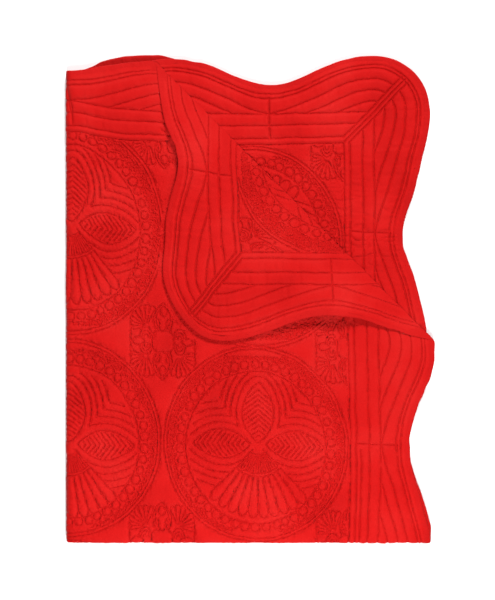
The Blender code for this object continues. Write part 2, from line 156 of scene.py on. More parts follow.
# Star between four medallions
STAR_CENTRE = 0.0134
STAR_CUT = 0.0050
STAR_ARCHES = (
    # span along the axis, half width
    ((0.008, 0.0480), 0.0122),
    ((0.012, 0.0445), 0.0090),
)
STAR_LOOP_AT = 0.0375
STAR_LOOP = (0.0062, 0.0048)
STAR_ALMOND_AT = (0.0215, 0.0076)
STAR_ALMOND = (0.0068, 0.0034)
STAR_TIP = (0.0225, 0.0395)
STAR_TIP_HALF = 0.0048
STAR_ARCS_AT = (0.0208, 0.0036)
STAR_ARCS = ((0.0026, 0.0044), (0.0052, 0.0086), (0.0078, 0.0128))
STAR_FAN_AT = (0.0206, 0.0178)
STAR_FAN_REACH = (0.0040, 0.0170, 0.0250)
STAR_FAN_LOBE = 0.0022
STAR_RIBS = 8
STAR_LOBE_STEPS = 8
STAR_FAN_FROM = math.radians(-16)
STAR_FAN_SWEEP = math.radians(132)
STAR_SIDE = 0.0405
STAR_SIDE_HALF = 0.0225

# How a hand-stitched line wavers
WAVERS = (
    # length of the waves, and how far they move a line
    (0.024, 0.0008),
    (0.0065, 0.00035),
)

# How the cloth was laid before it was folded
LAY_BLEND = 0.08
LAY_SHIFT_U = 0.0016
LAY_SHIFT_V = 0.0059
LAY_LEAN = 0.0138
LAY_NARROWING = 0.0643
UNDER_NARROWING = 0.03
DROP_ABOVE = (0.0375, -0.0025)
DROP_BELOW = (0.0043, 0.0143)
FOLD_SOFTNESS = 0.02
LEFT_RAISE = 0.0087
LEFT_RAISE_FROM = 0.20
LEFT_RAISE_OVER = 0.28
LEFT_RAISE_SPREAD = (0.035, 0.090)

# The turned-back corner
DIAGONAL_SUM = 0.7060
TURN_RADIUS = 0.0032
FLAP_HEIGHT = 0.0048
FLAP_EASE = 0.075

# Small pulls in the plane of the cloth: flat place, shift, and reach
PULLS = (
    # u, v, shift_u, shift_v, reach
    (0.259, 0.573, -0.010, 0.000, 0.060),
    (0.300, 0.590, -0.004, 0.010, 0.050),
    (0.430, 0.600, 0.000, -0.013, 0.060),
    (0.455, 0.500, 0.009, 0.000, 0.090),
    (0.430, 0.370, 0.006, 0.000, 0.070),
    (0.400, 0.130, 0.003, 0.000, 0.090),
    (0.455, 0.245, 0.002, -0.005, 0.060),
    (0.460, 0.000, -0.006, 0.000, 0.070),
    (0.425, -0.388, -0.002, 0.004, 0.050),
    (0.455, -0.265, -0.006, 0.000, 0.060),
    (0.432, -0.436, 0.006, 0.000, 0.034),
    (0.440, -0.285, -0.004, 0.000, 0.034),
    (0.040, -0.590, 0.000, -0.006, 0.050),
    (-0.058, 0.590, 0.000, 0.0066, 0.045),
    (0.040, 0.590, 0.000, 0.0075, 0.035),
    (0.138, 0.605, 0.000, -0.0105, 0.045),
    (0.000, 0.575, -0.0080, 0.000, 0.045),
    (0.235, 0.470, 0.000, 0.0055, 0.050),
    (0.320, 0.470, 0.000, 0.0055, 0.050),
    (0.192, -0.580, 0.000, -0.006, 0.045),
    (0.335, -0.590, 0.000, -0.003, 0.040),
    (0.440, 0.045, -0.003, 0.000, 0.035),
    (0.344, 0.600, 0.000, -0.005, 0.035),
)

# Places where the flap stands off the layer below it
LIFTS = (
    # u, v, height, reach
    (0.235, 0.570, 0.006, 0.070),
    (0.425, 0.388, 0.014, 0.055),
    (0.330, 0.590, 0.002, 0.070),
)

# The stack is nowhere quite even, and in some places on the table it is pressed lower
UNEVEN_SHARE = 0.035
UNEVEN_NOISE = ((0.6, (0.11, 0.13), 11), (0.4, (0.045, 0.05), 12))
HOLLOWS = (
    # x, y, reach, share
    (0.085, -0.032, 0.032, 0.30),
    (0.150, -0.045, 0.035, 0.16),
    (-0.112, 0.135, 0.024, 0.14),
)

# The crease of the turned-back corner is pressed nearly flat on the layer below it,
# which is full up against it
CREASE_PRESS = 0.96
CREASE_PRESS_REACH = 0.032
CREASE_FLOOR = 0.0135
CREASE_FILL = 0.85
CREASE_FILL_REACH = 0.0045

# Place of the bottom left corner of the folds
LEFT_FOLD_X = -0.2228
BOTTOM_FOLD_Y = -0.3011

# Where a side of the cloth comes into view: the start and the width of each change
SHOWN_BOTTOM_FOLD = (0.006, 0.010)
SHOWN_LEFT_FOLD = (-0.016, 0.008)
SHOWN_FACE_END = (0.004, 0.010)
SHOWN_FLAP_START = (-0.004, 0.006)
SHOWN_LOWER_START = (-0.030, 0.012)
# The flap covers the face up to this place before the crease, with the part of it past this u + v
COVERED_UNTIL = -0.05
FLAP_LEAST_SUM = 0.3

# Relief of the quilting
FULL_THICKNESS = 0.0051
BORDER_THICKNESS = 0.0064
STITCH_THICKNESS = 0.0012
EDGE_SHARE = 0.45
DIMPLE = 0.0011
BORDER_DIMPLE = 0.0017
PILLOW = 0.0050
DIMPLE_SHARE = 0.66
PUCKER_LEAST = 0.35
FOLD_PRESS = 0.85
FOLD_PRESS_REACH = 0.009
SIDE_PRESS = 0.6
SIDE_PRESS_REACH = 0.006

# Puckers, with layers of noise: share, size along and across, and seed
BORDER_PUCKER = 0.00050
BORDER_NOISE = ((1.0, (0.0042, 0.016), 21), (0.7, (0.0105, 0.030), 22))
PANEL_PUCKER = 0.00026
PANEL_NOISE = ((1.0, (0.0034, 0.0034), 23), (0.7, (0.010, 0.010), 24))
EDGE_PUCKER_AT = 0.0140
EDGE_PUCKER_REACH = 0.0035
EDGE_PUCKER_SHARE = 2.2
EDGE_PUCKER_NOISE = ((1.0, (0.0042, 0.020), 25),)
SEAM_PUCKER = 0.00032
SEAM_PUCKER_REACH = 0.0028
SEAM_PUCKER_NOISE = ((1.0, (0.0026, 0.0026), 27),)
CRUMPLE_NOISE = ((1.0, (0.0050, 0.020), 26),)
CRUMPLE_SHARPNESS = 0.30
CRUMPLES = (
    # flat place, reach, height: wrinkles across the channels, where the cloth is pushed together
    (0.415, 0.232, 0.045, 0.00045),
    (0.262, 0.560, 0.030, 0.00040),
    (0.430, 0.560, 0.040, 0.00040),
    (0.425, -0.130, 0.030, 0.00030),
    (0.350, -0.415, 0.038, 0.00140),
    (0.376, -0.365, 0.034, 0.00170),
    (0.430, -0.395, 0.040, 0.00100),
)

# How strong the finest crinkle of the material is: far from a stitch, how near it grows, in the border
CRINKLE_FAR = 0.25
CRINKLE_REACH = 0.0040
CRINKLE_BORDER = 0.28

# Meshes
FIELD_PITCH = 0.0005
FIELD_REACH = 0.0078
EDGE_FIELD_REACH = 0.020
EDGE_FIELD_STEP = 0.004
LINE_STEP = 0.0022
ECHO_STEP = 0.0005
SNAP_SHARE = 0.55
THIN_SNAP = 0.00035
SLOPE_STEP = 0.0003
LEAST_FACE_SHARE = 0.12
PIECE_TRIANGLES = 196000
CLOTH_TUCK = 0.0045
FINE_STEP = 0.0010
UNDER_STEP = 0.0035
HIDDEN_STEP = 0.009
NET_END_U = 0.452
NET_END_V = 0.60
# Nets of the two faces, along u and then v: where each stretch ends, and the step in it
FACE_NET = (
    ((-NET_END_U, 0.0), (-0.016, UNDER_STEP), (NET_END_U, FINE_STEP)),
    ((-NET_END_V, 0.0), (-0.010, HIDDEN_STEP), (NET_END_V, FINE_STEP)),
)
BACK_NET = (
    ((-NET_END_U, 0.0), (0.09, HIDDEN_STEP), (NET_END_U, FINE_STEP)),
    ((-NET_END_V, 0.0), (-0.22, FINE_STEP), (0.22, HIDDEN_STEP), (NET_END_V, FINE_STEP)),
)

# Binding
BINDING_STEP = 0.0016
BINDING_SECTION = (
    # distance in from the edge, half thickness
    (0.0121, 0.00062),
    (0.0113, 0.00105),
    (0.0097, 0.00142),
    (0.0075, 0.00152),
    (0.0050, 0.00150),
    (0.0028, 0.00142),
    (0.0012, 0.00118),
    (0.0003, 0.00072),
    (0.0000, 0.00000),
)
RIPPLE = 0.45
RIPPLE_LEAST = 0.35
RIPPLE_NOISE = ((0.7, (0.0042, 0.014), 31), (0.3, (0.009, 0.020), 32))
SWAY = 0.0007
SWAY_NOISE = ((1.0, (0.012, 1.0), 33),)

# Stitches, each with its stations: share of its length, share of its radius, height in radii
STITCH_PITCH = 0.0030
STITCH_LENGTH = 0.0021
STITCH_START = 0.15
THREAD_RADIUS = 0.00022
STITCH_STATIONS = ((0.0, 0.0, -0.35), (0.22, 1.0, 0.55), (0.78, 1.0, 0.55), (1.0, 0.0, -0.35))
FACE_STITCHES_FROM = -0.004

# Cottons: deep, plain and pale red, then how fine the weave and the lint are, and the crinkle's depth. The
# reds vary at random, and on the quilted cotton the deep red also paints shade in the stitched grooves and
# the pale red a painted highlight on the puffs beside them
COTTONS = {
    "quilted_cotton": (
        ((0.32, 0.0004, 0.0004), (0.47, 0.0040, 0.0036), (0.55, 0.0150, 0.0130)),
        (700.0, 2600.0, 0.0017),
    ),
    "binding_cotton": (
        ((0.32, 0.0010, 0.0010), (0.44, 0.0040, 0.0037), (0.52, 0.0110, 0.0100)),
        (700.0, 2600.0, 0.0005),
    ),
    "thread_cotton": (
        ((0.32, 0.0010, 0.0010), (0.41, 0.0032, 0.0030), (0.48, 0.0080, 0.0070)),
        (1500.0, 4000.0, 0.0005),
    ),
}


def smooth_step(value):
    """Ease from 0 to 1 with level ends."""
    t = np.clip(value, 0.0, 1.0)
    return t * t * (3.0 - 2.0 * t)


def eased(value, change):
    """Ease from 0 to 1 over a change with a start and a width."""
    return smooth_step((value - change[0]) / change[1])


def fade(distance, reach):
    """1 at no distance, falling softly to 0 past the reach."""
    return np.exp(-(distance / reach) ** 2)


def hill(u, v, top_u, top_v, reach):
    """1 at a place, falling softly to 0 round it."""
    return np.exp(-((u - top_u) ** 2 + (v - top_v) ** 2) / reach ** 2)


def soft_noise(u, v, size, seed):
    """Smooth noise from -1 to 1, with features of about the given size along u and v."""
    cells = 256
    start = 1000.0
    table = np.random.default_rng(seed).uniform(-1.0, 1.0, (cells, cells))
    across = np.asarray(u) / size[0] + start
    along = np.asarray(v) / size[1] + start
    i = np.floor(across).astype(int)
    j = np.floor(along).astype(int)
    s = smooth_step(across - i)
    t = smooth_step(along - j)
    low, high = (
        table[i % cells, row % cells] * (1.0 - s) + table[(i + 1) % cells, row % cells] * s
        for row in (j, j + 1)
    )
    return low * (1.0 - t) + high * t


def layered_noise(u, v, layers):
    """Layers of noise added up, each with its share, size and seed."""
    return sum(share * soft_noise(u, v, size, seed) for share, size, seed in layers)


def lay_flat(u, v):
    """Flat place to the place on the table before any fold."""
    above = 0.5 + 0.5 * np.tanh(v / LAY_BLEND)
    below = 1.0 - above
    spread = np.sqrt(u * u + FOLD_SOFTNESS ** 2) - FOLD_SOFTNESS
    drop = (DROP_ABOVE[0] * above + DROP_BELOW[0] * below) * spread
    drop = drop + (DROP_ABOVE[1] * above + DROP_BELOW[1] * below) * u
    lifted = eased(v, (LEFT_RAISE_FROM, LEFT_RAISE_OVER)) * fade(u, np.where(u > 0.0, *LEFT_RAISE_SPREAD))
    a = u + LAY_SHIFT_U + LAY_LEAN * v - LAY_NARROWING * u * v * above
    a = a + UNDER_NARROWING * below * (spread - u) / 2.0
    b = v + LAY_SHIFT_V - drop + LEFT_RAISE * lifted
    for pull_u, pull_v, shift_u, shift_v, reach in PULLS:
        share = hill(u, v, pull_u, pull_v, reach)
        a = a + shift_u * share
        b = b + shift_v * share
    return a, b


def flat_of(a, b):
    """The flat place that lies at (a, b), found by repeated correction."""
    u = a
    v = b
    for _ in range(8):
        found_a, found_b = lay_flat(u, v)
        u = u + a - found_a
        v = v + b - found_b
    return u, v


def past_crease(a, b):
    """How far past the crease of the turned-back corner a place on the table lies."""
    return (a + b - DIAGONAL_SUM) / math.sqrt(2.0)


def turn_corner(u, v, a, b, w):
    """Fold the upper right corner over the diagonal, face side inward."""
    past = np.where(u + v > 0.0, past_crease(a, b), -1.0)
    bend = math.pi * TURN_RADIUS
    angle = np.clip(past / TURN_RADIUS, 0.0, math.pi)
    flat_run = np.maximum(past - bend, 0.0)
    back = np.where(past < 0.0, -past, flat_run - (TURN_RADIUS - w) * np.sin(angle))
    ease = smooth_step(flat_run / FLAP_EASE)
    stand = 2.0 * TURN_RADIUS + (FLAP_HEIGHT - 2.0 * TURN_RADIUS) * ease
    for lift_u, lift_v, height, reach in LIFTS:
        stand = stand + height * hill(u, v, lift_u, lift_v, reach) * ease
    turning = TURN_RADIUS - (TURN_RADIUS - w) * np.cos(angle)
    height = np.where(past < 0.0, w, np.where(past < bend, turning, stand - w))
    shift = (past + back) / math.sqrt(2.0)
    return a - shift, b - shift, height


def fold_over(along, height, radius):
    """Bend a sheet round an edge: a place along it and a height, to two lengths."""
    bend = 0.5 * math.pi * radius
    angle = np.clip(along / radius, -0.5 * math.pi, 0.5 * math.pi)
    reach = radius + height
    run = np.maximum(np.abs(along) - bend, 0.0)
    return run - reach * np.cos(angle), reach * np.sin(angle)


def placed(u, v, w):
    """Flat places and heights in the cloth to points of the folded quilt, as rows."""
    a, b = lay_flat(u, v)
    a, b, height = turn_corner(u, v, a, b, w)
    y, layer = fold_over(b, height, 0.5 * LAYER_PITCH)
    x, z = fold_over(a, layer, LAYER_PITCH)
    z = z + 1.5 * LAYER_PITCH + 0.5 * PUFF_THICKNESS
    press = CREASE_PRESS * fade(past_crease(x, y), CREASE_PRESS_REACH)
    z = z - press * np.maximum(z - CREASE_FLOOR, 0.0)
    x = x + LEFT_FOLD_X
    y = y + BOTTOM_FOLD_Y
    share = 1.0 + UNEVEN_SHARE * layered_noise(x, y, UNEVEN_NOISE)
    for hollow_x, hollow_y, reach, depth in HOLLOWS:
        share = share - depth * hill(x, y, hollow_x, hollow_y, reach)
    return np.column_stack((x, y, np.maximum(z * share, 0.0)))


def quarter_outline(samples):
    """The scalloped edge of one quarter, from its right side round to its top."""
    swing = 0.5 * (EDGE_PEAK - EDGE_VALLEY)
    side = PANEL_HALF_U + 0.5 * (EDGE_PEAK + EDGE_VALLEY)
    top = PANEL_HALF_V + 0.5 * (EDGE_PEAK + EDGE_VALLEY)
    centre_u = PANEL_HALF_U + EDGE_PEAK - CORNER_RADIUS
    centre_v = PANEL_HALF_V + EDGE_PEAK - CORNER_RADIUS
    last_valley = 1.5 * SCALLOP
    share = np.linspace(0.0, 1.0, samples, endpoint=False)
    half_turn = math.pi * share
    turn = 0.5 * half_turn
    side_v = share * last_valley
    top_u = SCALLOP * (1.0 - share)
    stretches = (
        (side + swing * np.cos(2.0 * math.pi * side_v / SCALLOP), side_v),
        (side - swing * np.cos(half_turn), last_valley + share * (centre_v - last_valley)),
        (centre_u + CORNER_RADIUS * np.cos(turn), centre_v + CORNER_RADIUS * np.sin(turn)),
        (centre_u + share * (SCALLOP - centre_u), top + swing * np.cos(half_turn)),
        (top_u, top - swing * np.cos(2.0 * math.pi * top_u / SCALLOP)),
    )
    return np.concatenate(stretches, axis=1)


class Outline:
    """The whole scalloped edge, walked by length, counter-clockwise from the right."""

    def __init__(self, samples=900):
        quarter_u, quarter_v = quarter_outline(samples)
        back_u = np.concatenate(([0.0], quarter_u[:0:-1]))
        back_v = np.concatenate(([quarter_v[-1]], quarter_v[:0:-1]))
        self.u = np.concatenate((quarter_u, -back_u, -quarter_u, back_u))
        self.v = np.concatenate((quarter_v, back_v, -quarter_v, -back_v))
        step = np.hypot(np.diff(self.u, append=self.u[:1]), np.diff(self.v, append=self.v[:1]))
        self.length = float(step.sum())
        self.run = np.concatenate(([0.0], np.cumsum(step)))
        self.angle = np.unwrap(np.arctan2(self.v, self.u))
        self.radius = np.hypot(self.u, self.v)

    def edge_at(self, run):
        """Points on the edge at the given lengths."""
        run = np.mod(run, self.length)
        return [np.interp(run, self.run, np.append(edge, edge[0])) for edge in (self.u, self.v)]

    def at(self, run, inset=0.0):
        """Points at the given lengths, moved in from the edge."""
        reach = 0.001
        u, v = self.edge_at(run)
        before_u, before_v = self.edge_at(run - reach)
        after_u, after_v = self.edge_at(run + reach)
        along_u = after_u - before_u
        along_v = after_v - before_v
        size = np.hypot(along_u, along_v)
        return u - inset * along_v / size, v + inset * along_u / size

    def holds(self, u, v):
        """Which points lie inside the edge."""
        angle = np.mod(np.arctan2(v, u), 2.0 * math.pi)
        return np.hypot(u, v) < np.interp(angle, self.angle, self.radius, period=2.0 * math.pi)


def split(line, keep):
    """The stretches of a line whose points are kept."""
    edges = np.flatnonzero(np.diff(np.concatenate(([0], keep.astype(int), [0]))))
    return [line[start:end] for start, end in zip(edges[::2], edges[1::2]) if end - start > 1]


def ellipse(centre, radii, start=0.0, sweep=2.0 * math.pi):
    """Points round an ellipse or a part of one."""
    steps = max(6, int(abs(sweep) * max(radii) / LINE_STEP))
    angle = start + np.linspace(0.0, sweep, steps + 1)
    return np.column_stack((centre[0] + radii[0] * np.cos(angle), centre[1] + radii[1] * np.sin(angle)))


def segment(start, end, pitch=LINE_STEP):
    """Points along a straight line."""
    start = np.array(start, dtype=float)
    end = np.array(end, dtype=float)
    steps = max(1, int(np.hypot(*(end - start)) / pitch))
    share = np.linspace(0.0, 1.0, steps + 1)[:, None]
    return start + share * (end - start)


def turned(points, direction):
    """Points along an axis, turned to a direction."""
    cos, sin = direction
    u, v = points.T
    return np.column_stack((u * cos - v * sin, u * sin + v * cos))


def leaf_half(share, half_width, fullness=LEAF_FULLNESS):
    """Half the width of a leaf at a share of its length."""
    return half_width * np.sin(math.pi * np.clip(share, 0.0, 1.0)) ** fullness


def leaf(direction, span, half_width, fullness=LEAF_FULLNESS):
    """A pointed leaf along a direction, as a closed outline."""
    share = 0.5 - 0.5 * np.cos(np.linspace(0.0, math.pi, LEAF_POINTS))
    along = span[0] + share * (span[1] - span[0])
    half = np.column_stack((along, leaf_half(share, half_width, fullness)))
    return turned(np.concatenate((half, half[-2::-1] * (1.0, -1.0))), direction)


def leaf_veins(direction, span, half_width):
    """Chevrons inside a leaf, which point away from the medallion's centre."""
    across = np.linspace(0.0, half_width, 12)
    veins = []
    for tip in np.arange(span[0] + VEIN_ENDS[0], span[1] - VEIN_ENDS[1], VEIN_PITCH):
        along = tip - VEIN_SLOPE * across
        room = leaf_half((along - span[0]) / (span[1] - span[0]), half_width) - VEIN_CLEAR
        inside = (across < room) & (along > span[0] + VEIN_FOOT)
        for side in (1.0, -1.0):
            vein = np.column_stack((along, side * across))
            veins += [turned(piece, direction) for piece in split(vein, inside)]
    return veins


def gap_to(points, line):
    """Distance from each point to a line of points."""
    nearest = np.full(len(points), np.inf)
    for start, end in zip(line[:-1], line[1:]):
        span = end - start
        share = np.clip(((points - start) @ span) / max(float(span @ span), 1e-12), 0.0, 1.0)
        gap = points - start - share[:, None] * span
        nearest = np.minimum(nearest, np.hypot(gap[:, 0], gap[:, 1]))
    return nearest


def echo_lines():
    """Lines that repeat the leaves' outlines at even distances, inside the inner ring."""
    outlines = [leaf(direction, span, half, blunt) for direction, span, half, _, blunt in LEAVES]
    pitches = [pitch for _, _, _, pitch, _ in LEAVES]
    lines = []
    for outline, pitch in zip(outlines, pitches):
        fine = [segment(p, q, ECHO_STEP)[:-1] for p, q in zip(outline[:-1], outline[1:])]
        fine = np.concatenate(fine + [outline[-1:]])
        along = np.gradient(fine, axis=0)
        size = np.maximum(np.hypot(along[:, 0], along[:, 1]), 1e-9)
        normal = np.column_stack((-along[:, 1], along[:, 0])) / size[:, None]
        for index in range(1, ECHO_LINES + 1):
            moved = fine + index * pitch * normal
            clear = gap_to(moved, outline) > ECHO_CLEAR * index * pitch
            for other, other_pitch in zip(outlines, pitches):
                if other is not outline:
                    clear &= gap_to(moved, other) > index * other_pitch
            ring = (moved[:, 0] / INNER_RING[0]) ** 2 + ((moved[:, 1] + RING_DROP) / INNER_RING[1]) ** 2
            spread = np.abs(np.arctan2(moved[:, 0], -moved[:, 1]))
            clear &= (ring < ECHO_WITHIN) & (spread > FAN_SPREAD + ECHO_FAN_GAP)
            lines += [np.concatenate((piece[:-1:4], piece[-1:])) for piece in split(moved, clear)]
    return lines


def rib(angle, inner, outer):
    """A straight line outward from the medallion's centre."""
    ray = np.array((math.cos(angle), math.sin(angle)))
    return segment(ray * inner, ray * outer)


def fan_lines():
    """A small fan under the medallion's centre, and a large one with rounded ends."""
    start = 1.5 * math.pi - FAN_SPREAD
    sweep = 2.0 * FAN_SPREAD
    small_end = SMALL_FAN - FAN_BAND
    lines = [ellipse((0.0, 0.0), (radius, radius), start, sweep) for radius in (small_end, SMALL_FAN)]
    for index in range(SMALL_RIBS + 1):
        inner = SMALL_RIB_STARTS[0 < index < SMALL_RIBS]
        lines.append(rib(start + sweep * index / SMALL_RIBS, inner, small_end))
    for index in range(FAN_LOBES + 1):
        lines.append(rib(start + sweep * index / FAN_LOBES, SMALL_FAN, FAN_END))
    share = np.linspace(0.0, 1.0, LOBE_POINTS)
    radius = FAN_END + FAN_LOBE * np.sin(math.pi * share) ** LOBE_FULLNESS
    for index in range(FAN_LOBES):
        angle = start + sweep * (index + share) / FAN_LOBES
        lines.append(np.column_stack((radius * np.cos(angle), radius * np.sin(angle))))
    return lines


def curls(middle, bead_ring, outer_ring):
    """Small open loops that fill the band between a medallion's beads and its outer rings."""
    random = np.random.default_rng(7)
    count = int(outer_ring[1] / CURL_PITCH) + 2
    clear = BEAD_RADIUS + CURL_CLEAR
    lines = []
    for row in range(-count, count + 1):
        for column in range(-count, count + 1):
            u = (column + 0.5 * (row % 2)) * CURL_PITCH + random.uniform(-CURL_JITTER, CURL_JITTER)
            v = row * math.sqrt(0.75) * CURL_PITCH + random.uniform(-CURL_JITTER, CURL_JITTER)
            size = random.uniform(*CURL_RADII)
            shape = (size, size * random.uniform(*CURL_ROUNDNESS))
            start = random.uniform(0.0, 2.0 * math.pi)
            sweep = random.uniform(*CURL_SWEEP)
            outer = math.hypot(u / (outer_ring[0] - CURL_CLEAR), v / (outer_ring[1] - CURL_CLEAR))
            inner = math.hypot(u / (bead_ring[0] + clear), (v + BEAD_DROP) / (bead_ring[1] + clear))
            if outer < 1.0 < inner:
                lines.append(ellipse((u + middle[0], v + middle[1]), shape, start, sweep))
    return lines


def medallion(leaf_shift, ring_shift, taller, wider):
    """Stitch lines of one medallion, deep and fine, as far off its even place as it is sewn."""
    leaves = [leaf(direction, span, half) for direction, span, half, _, _ in LEAVES]
    leaves += echo_lines() + fan_lines()
    veins = []
    for direction, span, half, _, _ in LEAVES:
        veins += leaf_veins(direction, span, half)
    inner_ring = np.array(INNER_RING) * (1.0, taller[0])
    inner_middle = np.array(ring_shift) - (0.0, RING_DROP)
    deep = [ellipse(inner_middle, inner_ring)]
    for line in leaves:
        line = line * (1.0, taller[0]) + leaf_shift
        from_ring = (line - inner_middle) / inner_ring
        deep += split(line, np.hypot(*from_ring.T) < LEAVES_WITHIN)
    rings = [np.array(ring) * (wider, taller[2]) for ring in (OUTER_RING, SECOND_RING)]
    deep += [ellipse(ring_shift, ring) for ring in rings]
    fine = [line * (1.0, taller[0]) + leaf_shift for line in veins]
    bead_ring = np.array(BEAD_RING) * (1.0, taller[1])
    random = np.random.default_rng(5)
    for index in range(BEADS):
        angle = 2.0 * math.pi * (index + 0.5 + random.uniform(-BEAD_JITTER, BEAD_JITTER)) / BEADS
        centre_u = bead_ring[0] * math.cos(angle) + ring_shift[0]
        centre_v = bead_ring[1] * math.sin(angle) + ring_shift[1] - BEAD_DROP
        fine.append(ellipse((centre_u, centre_v), BEAD_RADIUS * random.uniform(*BEAD_SIZES, 2)))
    return deep, fine + curls(ring_shift, bead_ring, rings[1])


def star():
    """Stitch lines of the star that fills the gap between four medallions."""
    corner = STAR_CENTRE - STAR_CUT
    round_centre = []
    for side_u, side_v in QUADRANTS:
        pair = [(side_u * STAR_CENTRE, side_v * corner), (side_u * corner, side_v * STAR_CENTRE)]
        round_centre += pair if side_u * side_v > 0.0 else pair[::-1]
    round_centre.append(round_centre[0])
    lines = [segment(start, end) for start, end in zip(round_centre[:-1], round_centre[1:])]
    for end in (1.0, -1.0):
        for span, half_width in STAR_ARCHES:
            arch = leaf((0.0, end), span, half_width)
            lines += split(arch, np.abs(arch[:, 1]) > STAR_CENTRE)
        small = [ellipse((STAR_LOOP_AT, 0.0), STAR_LOOP)]
        for side in (1.0, -1.0):
            small.append(ellipse((STAR_ALMOND_AT[0], side * STAR_ALMOND_AT[1]), STAR_ALMOND))
        lines += [turned(line, (0.0, end)) for line in small]
        lines.append(leaf((end, 0.0), STAR_TIP, STAR_TIP_HALF))
        lines.append(segment((end * STAR_SIDE, -STAR_SIDE_HALF), (end * STAR_SIDE, STAR_SIDE_HALF)))
    near, short, long = STAR_FAN_REACH
    share = np.linspace(0.0, STAR_RIBS, STAR_LOBE_STEPS * STAR_RIBS + 1)
    angle = STAR_FAN_FROM + STAR_FAN_SWEEP * share / STAR_RIBS
    far = short + (long - short) * np.maximum(0.0, np.sin(angle))
    lobes = far + STAR_FAN_LOBE * np.abs(np.sin(math.pi * share))
    for side in QUADRANTS:
        centre = np.array(side) * STAR_ARCS_AT
        for radius_u, radius_v in STAR_ARCS:
            lines.append(ellipse(centre, (radius_u, side[1] * radius_v), 0.0, math.pi))
        apex = np.array(side) * STAR_FAN_AT
        rays = np.column_stack((np.cos(angle), np.sin(angle))) * side
        for ray, end in zip(rays[::STAR_LOBE_STEPS], far[::STAR_LOBE_STEPS]):
            lines.append(segment(apex + near * ray, apex + end * ray))
        lines.append(apex + lobes[:, None] * rays)
    return lines


def inside_panel(points):
    """Which points lie inside the panel's frame line."""
    clear = 0.001
    return (np.abs(points[:, 0]) < PANEL_HALF_U - clear) & (np.abs(points[:, 1]) < PANEL_HALF_V - clear)


def even_centre(column, row):
    """The even place of a medallion or star."""
    return np.array((column * MEDALLION_PITCH_U, row * MEDALLION_PITCH_V))


def outside_rings(points):
    """Which points lie outside every medallion of the right half."""
    outside = np.full(len(points), True)
    for column in (0.0, 1.0):
        for row in MEDALLION_ROWS:
            _, ring_shift, taller, wider = OFF_PLACE.get((column, row), EVEN_PLACE)
            from_centre = points - even_centre(column, row) - ring_shift
            from_centre = from_centre / (OUTER_RING[0] * wider, OUTER_RING[1] * taller[2])
            outside &= np.hypot(*from_centre.T) > STARS_BEYOND
    return outside


def by_hand(line):
    """A line as a hand stitches it, nowhere quite true."""
    u, v = line.T
    moved = line.copy()
    for index, (size, reach) in enumerate(WAVERS):
        for axis in (0, 1):
            moved[:, axis] += reach * soft_noise(u, v, (size, size), 41 + 2 * index + axis)
    return moved


def panel_lines():
    """Stitch lines of the right half of the panel, deep ones and fine ones."""
    star_local = star()
    deep = []
    fine = []
    for column in (0.0, 1.0):
        for row in MEDALLION_ROWS:
            made = medallion(*OFF_PLACE.get((column, row), EVEN_PLACE))
            for found, local in zip((deep, fine), made):
                for line in local:
                    line = line + even_centre(column, row)
                    found += split(line, (line[:, 0] > HALF_START) & inside_panel(line))
    for column in (0.5, 1.5):
        for row in (-2.0, -1.0, 0.0, 1.0, 2.0):
            centre = even_centre(column, row) + (0.0, STAR_OFF_PLACE.get((column, row), 0.0))
            for line in star_local:
                line = line + centre
                fine += split(line, inside_panel(line) & outside_rings(line))
    return deep, fine


def off_mitre(line):
    """Which points of a line lie clear of the double seam at the corners."""
    beyond_u = np.abs(line[:, 0]) - PANEL_HALF_U
    beyond_v = np.abs(line[:, 1]) - PANEL_HALF_V
    return np.abs(beyond_u - beyond_v) > math.sqrt(2.0) * MITRE_LINES[-1]


def cusp_at(u, v):
    """How much further in a channel line runs where two scallops meet."""
    beyond_u = np.abs(u) - PANEL_HALF_U
    beyond_v = np.abs(v) - PANEL_HALF_V
    from_valley = np.where(beyond_u > beyond_v, np.abs(v) + 0.5 * SCALLOP, np.abs(u))
    from_valley = np.abs(np.mod(from_valley + 0.5 * SCALLOP, SCALLOP) - 0.5 * SCALLOP)
    share = np.clip(1.0 - from_valley / CUSP_REACH, 0.0, 1.0)
    return np.where(np.minimum(beyond_u, beyond_v) < 0.0, CUSP_DEPTH * share ** CUSP_SHARPNESS, 0.0)


